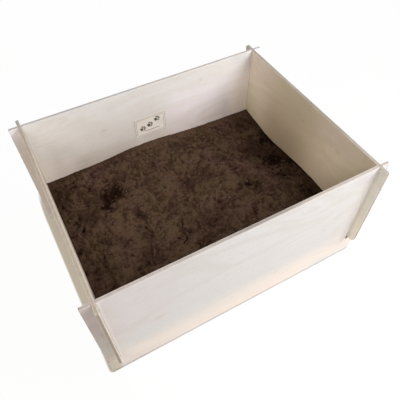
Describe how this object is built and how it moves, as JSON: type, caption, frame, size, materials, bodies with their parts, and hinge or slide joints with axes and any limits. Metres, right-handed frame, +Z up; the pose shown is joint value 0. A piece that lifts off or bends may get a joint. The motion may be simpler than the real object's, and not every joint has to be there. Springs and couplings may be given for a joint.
{
  "type": "small animal digging box",
  "caption": "Open-topped plywood box of plug-together walls with projecting corner ends, a loose floor board and a filling of soil for a small animal to dig in.",
  "frame": {"origin": "on the ground under the middle of the box", "axes": "+X along the long walls, +Y from the front wall to the back wall, +Z up"},
  "size_m": [0.539, 0.425, 0.27],
  "materials": {
    "wall_plywood": "untreated pale plywood, sanded",
    "floor_plywood": "untreated plywood",
    "soil": "loose dark humus soil, matt",
    "label_paper": "matt printed paper"
  },
  "bodies": {
    "box": {"front_panel": "wall_plywood", "back_panel": "wall_plywood", "base_panel": "floor_plywood", "soil_fill": "soil", "wall_label": "label_paper"},
    "left_wall": {"left_panel": "wall_plywood"},
    "right_wall": {"right_panel": "wall_plywood"}
  },
  "joints": [
    {"name": "left_lift", "type": "slide", "parent": "box", "child": "left_wall", "axis": [0, 0, 1], "range_m": [0, 0.28]},
    {"name": "right_lift", "type": "slide", "parent": "box", "child": "right_wall", "axis": [0, 0, 1], "range_m": [0, 0.28]}
  ]
}
